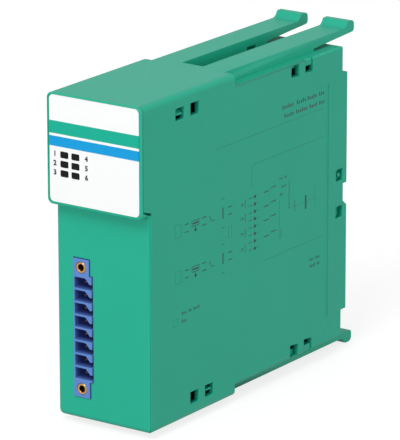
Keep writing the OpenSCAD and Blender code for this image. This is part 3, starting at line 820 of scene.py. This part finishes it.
@dataclass
class SideDiagram:
    """The printed block diagram on the side cover: thin lines, terminal dots and plain blocks.

    Places are in millimetres on the side face: along from the hood's front, and up from the
    bottom face.
    """

    shop: Shop
    datum: Datum
    faint_w: float = 0.06
    line_w: float = 0.18
    dash_w: float = 0.28
    bar_w: float = 0.5
    bus_w: float = 0.75
    dot_r: float = 0.52
    dot_steps: int = 20
    film_mm: float = 0.02
    row_pitch: float = 2.2
    first_row: float = 57.3
    rows: int = 8
    marks: list[Object] = field(default_factory=list)

    def line(self, points: Sequence[Point], width: float) -> None:
        """Lays a straight strip between each two points."""
        for (y0, z0), (y1, z1) in zip(points, points[1:]):
            length = math.hypot(y1 - y0, z1 - z0)
            deselect_all()
            bpy.ops.mesh.primitive_plane_add(
                size=1, location=((y0 + y1) / 2 * MM, (z0 + z1) / 2 * MM, 0),
                rotation=(0, 0, math.atan2(z1 - z0, y1 - y0)))
            strip = bpy.context.object
            strip.scale = ((length + width) * MM, width * MM, 1)
            self.marks.append(strip)

    def dot(self, centre: Point, radius: float) -> None:
        """Lays a round terminal dot."""
        deselect_all()
        bpy.ops.mesh.primitive_circle_add(
            vertices=self.dot_steps, radius=radius * MM, fill_type="NGON",
            location=(centre[0] * MM, centre[1] * MM, 0))
        self.marks.append(bpy.context.object)

    def box(self, low: Point, high: Point, width: float) -> None:
        """Draws a rectangle."""
        (y0, z0), (y1, z1) = low, high
        self.line([low, (y1, z0), high, (y0, z1), low], width)

    def caption(self, start: Point, lengths: Sequence[float], height: float) -> None:
        """Sets a row of short strokes, as small lettering looks from a step away."""
        y, z = start
        pitch, stroke = 0.85 * height, 0.42 * height
        for length in lengths:
            for number in range(max(1, round(length / pitch))):
                tall = height if number % 3 == 0 else 0.72 * height
                middle = y + stroke / 2 + number * pitch
                low = z - height / 2 + stroke / 2
                self.line([(middle, low), (middle, low + tall - stroke)], stroke)
            y += length + pitch

    def input_stage(self, z: float) -> None:
        """Draws one input row: source, terminals, sensor symbol, filter and its isolating bar."""
        self.box((15.6, z - 1.8), (18.6, z + 1.8), self.faint_w)
        for y0, y1 in ((20.5, 22.0), (28.8, 30.6), (41.8, 43.4)):
            for shift in (-1.1, 1.1):
                self.line([(y0, z + shift), (y1, z + shift)], self.dash_w)
        self.box((23.8, z - 0.3), (27.2, z + 1.3), self.line_w)
        self.line([(24.4, z + 0.5), (26.6, z + 0.5)], self.bar_w)
        self.line([(25.5, z - 0.3), (25.5, z - 1.7)], self.line_w)
        self.dot((25.5, z - 1.5), self.dot_r)
        self.line([(32.2, z + 0.9), (33.4, z - 0.9), (34.8, z - 0.9)], self.line_w)
        self.line([(39.0, z - 1.4), (39.0, z + 1.4)], self.bar_w)
        for shift in (-4.2, 4.2):
            self.line([(38.4, z + shift), (39.6, z + shift)], self.line_w)

    def terminal_rows(self) -> None:
        """Draws the column of terminal dots, with a short lead and a number place to the left."""
        for row in range(self.rows):
            z = self.first_row - row * self.row_pitch
            self.line([(51.9, z), (53.3, z)], self.line_w)
            self.line([(54.0, z), (57.4, z)], self.faint_w)
            self.dot((55.0, z), self.dot_r)

    def isolation_stage(self) -> None:
        """Draws the couplers, the drivers and the bus to the right of the terminals."""
        for z in (56.3, 52.2, 47.6, 43.0):
            self.line([(48.0, z + 0.4), (49.2, z), (48.0, z - 0.4)], self.line_w)
            self.line([(50.1, z - 1.2), (50.1, z + 1.2)], self.line_w)
        self.box((41.8, 48.2), (43.3, 51.6), self.faint_w)
        for z in (57.4, 53.1, 48.9, 44.1):
            self.line([(59.6, z), (61.8, z)], self.dash_w)
            self.line([(61.8, z), (63.4, z + 0.6)], self.faint_w)
            self.line([(63.4, z + 0.6), (65.6, z + 0.6)], self.dash_w)
        self.caption((67.6, 59.6), (2.0, 1.4), 0.7)
        self.caption((68.6, 57.0), (2.2,), 0.7)
        self.caption((67.8, 54.8), (1.5,), 0.7)
        self.line([(67.5, 41.6), (67.5, 53.2)], self.faint_w)
        self.line([(68.4, 41.4), (68.4, 44.4)], self.line_w)
        self.line([(72.5, 49.6), (72.5, 58.2)], self.line_w)
        self.line([(75.5, 48.0), (75.5, 51.2)], self.line_w)
        self.line([(72.5, 49.6), (80.4, 49.6)], self.faint_w)
        self.line([(81.2, 47.7), (81.2, 51.1)], self.bus_w)
        self.line([(81.2, 49.6), (86.0, 49.6)], self.faint_w)
        self.line([(86.0, 47.4), (86.0, 54.2)], self.faint_w)

    def build(self) -> None:
        """Draws the diagram, gives it the thickness of an ink film and sets it on the cover."""
        self.line([(36.0, 75.6), (90.4, 75.6)], self.faint_w)
        self.caption((68.9, 80.4), (6.4, 4.6, 5.0, 3.0), 1.2)
        self.caption((70.0, 77.7), (5.0, 6.0, 4.0, 3.0), 1.2)
        self.line([(53.3, 60.0), (53.3, 65.5), (53.7, 66.6), (54.8, 67.0), (90.5, 67.0)], self.faint_w)
        self.line([(59.0, 37.0), (90.5, 37.0)], self.faint_w)
        self.input_stage(56.2)
        self.input_stage(42.8)
        self.terminal_rows()
        self.isolation_stage()
        self.box((14.6, 28.8), (16.8, 30.8), self.faint_w)
        self.caption((18.8, 31.8), (2.6, 1.4, 3.0), 0.95)
        self.caption((18.8, 29.5), (2.2,), 0.95)
        self.caption((83.4, 31.2), (2.4, 2.4), 0.95)
        self.caption((83.6, 29.2), (3.0, 1.6), 0.95)
        for strip in self.marks:
            apply_place(strip)
        piece = joined(self.marks, "side_print")
        piece.rotation_euler = (math.pi / 2, 0, math.pi / 2)
        piece.location = (self.datum.side_x, self.datum.front_y, self.datum.bottom_z)
        apply_place(piece)
        film = piece.modifiers.new("ink film", "SOLIDIFY")
        film.thickness = self.film_mm * MM
        film.offset = 1.0
        apply_modifiers(piece)
        seat(piece, Slot.FILM, self.shop.ink)


@dataclass
class FrontLabel:
    """The printed film on the hood, the six dark lamp windows and the lamp numbers."""

    shop: Shop
    datum: Datum
    white: str = "#f5f6f6"
    green: str = "#05aa8f"
    blue: str = "#0399d7"
    # Upper edges of the lower white, the blue, the thin white and the green, above the bottom face
    band_tops_mm: tuple[float, ...] = (80.1, 83.05, 83.7, 87.4)
    number_mm: float = 2.0
    number_bold_mm: float = 0.1
    curve_steps: int = 6
    left_shift_mm: float = 3.25
    right_shift_mm: float = 3.8
    window_edge_mm: float = 0.06
    film_edge_mm: float = 0.05
    ink_mm: float = 0.02
    side_gap_mm: float = 0.4
    lower_gap_mm: float = 0.3
    clear_mm: float = 1.0

    def trim(self, piece: Object) -> None:
        """Draws the film's outline in from its seat, so that the seat shows as a green rim.

        Args:
            piece: Copy of the label's solid; the openings for the lamp windows stay in place.
        """
        low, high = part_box("front_label")
        size = high - low
        guides = [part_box(f"light_guide_{number}") for number in LAMPS]
        clear = self.clear_mm * MM
        left = min(start.x for start, _ in guides) - clear
        right = max(end.x for _, end in guides) + clear
        lower = min(start.z for start, _ in guides) - clear
        upper = max(end.z for _, end in guides) + clear
        wide = (size.x - 2 * self.side_gap_mm * MM) / size.x
        tall = (size.z - self.lower_gap_mm * MM) / size.z
        middle_top = ((low.x + high.x) / 2, low.y, high.z)
        with editing(piece) as mesh:
            for vert in mesh.verts:
                at_lamps = left < vert.co.x < right and lower < vert.co.z < upper
                vert.select_set(not at_lamps)
            bmesh.update_edit_mesh(piece.data)
            bpy.ops.transform.resize(value=(wide, 1, tall), center_override=middle_top)

    def film(self) -> None:
        """Makes the label with its green and blue bands."""
        low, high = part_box("front_label")
        base = self.datum.bottom_z / MM - low.z / MM
        tops = [base + top for top in self.band_tops_mm] + [(high.z - low.z) / MM]
        colours = (self.white, self.blue, self.white, self.green, self.white)
        bands = tuple(Band(colour, top) for colour, top in zip(colours, tops))
        piece = merged_copy("front_label", "label_film")
        self.trim(piece)
        soften(piece, self.film_edge_mm, 1)
        film = PrintedFilm("printed_polyester_film", low.z, high.z - low.z, bands)
        seat(piece, Slot.FILM, film.material(), "front_label")

    def windows(self) -> None:
        """Rounds the fronts of the six light guides."""
        for number in LAMPS:
            node = f"light_guide_{number}"
            piece = merged_copy(node, f"lamp_window_{number}")
            soften(piece, self.window_edge_mm)
            seat(piece, Slot.GUIDE, self.shop.window, node)

    def numbers(self) -> None:
        """Sets a number beside each lamp window, outside its column."""
        made = []
        for number in LAMPS:
            low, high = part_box(f"light_guide_{number}")
            shift = -self.left_shift_mm if number <= len(LAMPS) / 2 else self.right_shift_mm
            deselect_all()
            bpy.ops.object.text_add()
            text = bpy.context.object
            text.data.body = str(number)
            text.data.size = self.number_mm * MM
            text.data.offset = self.number_bold_mm * MM
            text.data.resolution_u = self.curve_steps
            text.data.align_x = text.data.align_y = "CENTER"
            text.data.extrude = self.ink_mm * MM / 2
            activate(text)
            bpy.ops.object.convert(target="MESH")
            text.rotation_euler = (math.pi / 2, 0, 0)
            text.location = ((low.x + high.x) / 2 + shift * MM, self.datum.front_y, (low.z + high.z) / 2)
            apply_place(text)
            made.append(text)
        piece = joined(made, "lamp_numbers")
        with editing(piece):
            weld()
        seat(piece, Slot.FILM, self.shop.numbers)

    def build(self) -> None:
        """Makes the label, its windows and its numbers."""
        self.film()
        self.windows()
        self.numbers()


@dataclass
class TerminalHeader:
    """The blue eight-pole header: keyed pockets, contact pins and two threaded brass inserts."""

    shop: Shop
    edge_mm: float = 0.1
    pin_edge_mm: float = 0.2
    thread_core_mm: float = 1.0
    thread_pitch_mm: float = 0.45
    thread_depth_mm: float = 0.22
    mouth_mm: float = 0.12
    spin_steps: int = 40

    def body(self) -> None:
        """Softens the header's walls and pins."""
        piece = merged_copy("header_body", "header_moulding")
        soften(piece, self.edge_mm)
        seat(piece, Slot.HEADER, self.shop.header, "header_body")
        for number in PINS:
            node = f"header_pin_{number}"
            pin = merged_copy(node, f"contact_pin_{number}")
            soften(pin, self.pin_edge_mm)
            seat(pin, Slot.PIN, self.shop.pin, node)

    def insert_profile(self, outer: float, length: float) -> list[Point]:
        """Gives the half section of an insert, as radius and depth in metres.

        Args:
            outer: Outer radius.
            length: Length of the insert.

        Returns:
            Points from the rear of the outside, round the mouth and down the thread.
        """
        chamfer, depth = self.mouth_mm * MM, self.thread_depth_mm * MM
        crest, pitch = self.thread_core_mm * MM, self.thread_pitch_mm * MM
        points = [(outer, length), (outer, chamfer), (outer - chamfer, 0.0), (crest + chamfer, 0.0)]
        turns = int((length - chamfer) / pitch)
        for turn in range(turns):
            points.append((crest, chamfer + turn * pitch))
            points.append((crest + depth, chamfer + (turn + 0.5) * pitch))
        return [*points, (crest, length), (outer, length)]

    def insert(self, node: str, name: str) -> None:
        """Turns one threaded insert by spinning its section round the axis.

        Args:
            node: Node that the insert stands for.
            name: Name of the piece.
        """
        low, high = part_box(node)
        centre = Vector(((low.x + high.x) / 2, low.y, (low.z + high.z) / 2))
        profile = self.insert_profile((high.x - low.x) / 2, high.y - low.y)
        deselect_all()
        bpy.ops.mesh.primitive_plane_add(size=MM)
        piece = bpy.context.object
        with editing(piece) as mesh:
            bmesh.ops.delete(mesh, geom=list(mesh.verts)[1:], context="VERTS")
            start = mesh.verts[:][0]
            start.co = centre + Vector((profile[0][0], profile[0][1], 0))
            start.select_set(True)
            bmesh.update_edit_mesh(piece.data)
            for (r0, y0), (r1, y1) in zip(profile, profile[1:]):
                bpy.ops.mesh.extrude_region_move(
                    TRANSFORM_OT_translate={"value": (r1 - r0, y1 - y0, 0)})
            bpy.ops.mesh.select_all(action="SELECT")
            bpy.ops.mesh.spin(steps=self.spin_steps, angle=2 * math.pi, center=centre, axis=(0, 1, 0))
            weld()
            bpy.ops.mesh.normals_make_consistent(inside=False)
        apply_place(piece)
        piece.name = piece.data.name = name
        bpy.ops.object.shade_smooth_by_angle(angle=math.radians(30))
        brass = TurnedBrass(f"turned_brass_{name}", tuple(centre))
        seat(piece, Slot.BRASS, brass.material(), node)

    def build(self) -> None:
        """Makes the header, its pins and its inserts."""
        self.body()
        self.insert("upper_screw_insert", "upper_brass_insert")
        self.insert("lower_screw_insert", "lower_brass_insert")


@dataclass
class InnerWorks:
    """The boards and what they carry, and the plug at the rear."""

    shop: Shop
    plug_edge_mm: float = 0.15
    contact_edge_mm: float = 0.12

    def build(self) -> None:
        """Softens the rear plug and gives every inner piece its finish."""
        plug = merged_copy("rear_plug", "plug_moulding")
        soften(plug, self.plug_edge_mm)
        seat(plug, Slot.PLUG, self.shop.plug, "rear_plug")
        contacts = merged_copy("rear_contacts", "plug_contacts")
        soften(contacts, self.contact_edge_mm, 1)
        seat(contacts, Slot.CONTACT, self.shop.gold, "rear_contacts")
        finishes = {
            self.shop.lamp: ("status_lamp",),
            self.shop.board: ("lamp_board", "main_board"),
            self.shop.ferrite: ("transformer_core",),
            self.shop.winding: ("transformer_winding",),
            self.shop.moulding: ("transformer_bobbin", "coupler", "controller_chip", "converter_chip"),
            self.shop.sleeve: ("capacitor",),
        }
        for node, obj in sorted(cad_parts.items()):
            for material, starts in finishes.items():
                if node.startswith(starts):
                    dress(obj, material)
                    LOG.info("%s: %s", node, material.name)


@dataclass(frozen=True)
class SoftBox:
    """One soft studio lamp."""

    name: str
    place: tuple[float, float, float]
    size: float
    watts: float


@dataclass
class Studio:
    """Camera, lamps, world and floor."""

    datum: Datum
    image_w: int = 400
    image_h: int = 440
    focal_px: float = 4146.68
    azimuth: float = 35.07
    elevation: float = 16.536
    roll: float = -0.091
    distance_mm: float = 1187.418
    aim_mm: tuple[float, float, float] = (0.0, 46.0, 48.5)
    offset_mm: tuple[float, float] = (-2.784, -1.197)
    sensor_mm: float = 36.0
    ambient: float = 0.47
    paper: str = "#959595"
    paper_lift: float = 0.78
    paper_m: float = 24.0
    paper_drop_mm: float = 0.02
    fibre_mm: float = 1.5
    fibre_depth_mm: float = 0.05
    # The key stands high for the shadow under the hood, and the fill lights the front from low down
    lamps: tuple[SoftBox, ...] = (
        SoftBox("key_light", (0.16, -0.916, 1.083), 0.6, 7.9),
        SoftBox("front_fill", (0.21, -1.37, 0.17), 0.6, 9.5),
        SoftBox("side_light", (1.31, 0.23, 0.29), 0.7, 4.7),
    )

    def camera(self) -> None:
        """Stands the camera where the photograph's perspective puts it."""
        az, el, roll = (math.radians(a) for a in (self.azimuth, self.elevation, self.roll))
        back = Vector((math.sin(az) * math.cos(el), -math.cos(az) * math.cos(el), math.sin(el)))
        right = Vector((math.cos(az), math.sin(az), 0))
        up = back.cross(right)
        right, up = (right * math.cos(roll) + up * math.sin(roll),
                     up * math.cos(roll) - right * math.sin(roll))
        origin = Vector((0, self.datum.front_y, self.datum.bottom_z))
        aim = origin + Vector(self.aim_mm) * MM
        eye = aim + (back * self.distance_mm - right * self.offset_mm[0] - up * self.offset_mm[1]) * MM
        data = bpy.data.cameras.new("photo_camera")
        data.sensor_width = self.sensor_mm
        data.lens = self.focal_px * self.sensor_mm / max(self.image_w, self.image_h)
        data.clip_start, data.clip_end = 0.01, 50.0
        camera = bpy.data.objects.new("photo_camera", data)
        turn = Matrix((right, up, back)).transposed()
        camera.matrix_world = Matrix.Translation(eye) @ turn.to_4x4()
        bpy.context.scene.collection.objects.link(camera)
        bpy.context.scene.camera = camera

    def light(self) -> None:
        """Hangs the soft lamps round the object, each turned to its middle."""
        low, high = CAD_BOX
        middle = (low + high) / 2
        for lamp in self.lamps:
            data = bpy.data.lights.new(lamp.name, "AREA")
            data.shape = "SQUARE"
            data.size = lamp.size
            data.energy = lamp.watts
            obj = bpy.data.objects.new(lamp.name, data)
            obj.location = lamp.place
            obj.rotation_euler = (Vector(lamp.place) - middle).to_track_quat("Z", "Y").to_euler()
            bpy.context.scene.collection.objects.link(obj)

    @staticmethod
    def seen(tree: Tree) -> Socket:
        """Gives 1 where the eye, a reflection or clear plastic looks, and 0 where light is gathered."""
        path = add(tree, "ShaderNodeLightPath").outputs
        mirrored = calc(tree, "MAXIMUM", path["Is Camera Ray"], path["Is Glossy Ray"])
        return calc(tree, "MAXIMUM", mirrored, path["Is Transmission Ray"])

    def world(self) -> None:
        """Makes the surroundings: white to the eye, and a soft grey light from all round."""
        world = bpy.data.worlds.new("white_studio")
        world.use_nodes = True
        bpy.context.scene.world = world
        tree = world.node_tree
        strength = add(tree, "ShaderNodeMapRange",
                       {"Value": self.seen(tree), "To Min": self.ambient, "To Max": 1.0}).outputs["Result"]
        fill(tree, tree.nodes["Background"], {"Color": linear("#ffffff"), "Strength": strength})

    def floor(self) -> None:
        """Lays a pale paper sheet under the object, lifted to white where it is seen."""
        deselect_all()
        bpy.ops.mesh.primitive_plane_add(
            size=self.paper_m, location=(0, 0, CAD_BOX[0].z - self.paper_drop_mm * MM))
        floor = bpy.context.object
        floor.name = "paper_floor"
        made, tree, place = blank("matt_pale_paper")
        fibre = noise(tree, place, self.fibre_mm, 3.0)
        finished(made, {
            "Base Color": linear(self.paper),
            "Roughness": 0.9,
            "Specular IOR Level": 0.1,
            "Normal": relief(tree, fibre, self.fibre_depth_mm, 0.05),
            "Emission Color": linear("#ffffff"),
            "Emission Strength": calc(tree, "MULTIPLY", self.seen(tree), self.paper_lift),
        })
        dress(floor, made)

    def build(self) -> None:
        """Sets up the whole studio."""
        self.camera()
        self.light()
        self.world()
        self.floor()
        bpy.context.scene.view_settings.view_transform = "Standard"


def main() -> None:
    """Builds the object's pieces in order, then the studio."""
    logging.basicConfig(level=logging.INFO, format="%(name)s: %(message)s")
    deselect_all()
    shop, datum = Shop(), Datum()
    Studio(datum).build()
    Mouldings(shop, datum).build()
    SideDiagram(shop, datum).build()
    FrontLabel(shop, datum).build()
    TerminalHeader(shop).build()
    InnerWorks(shop).build()


if __name__ == "__main__":
    main()
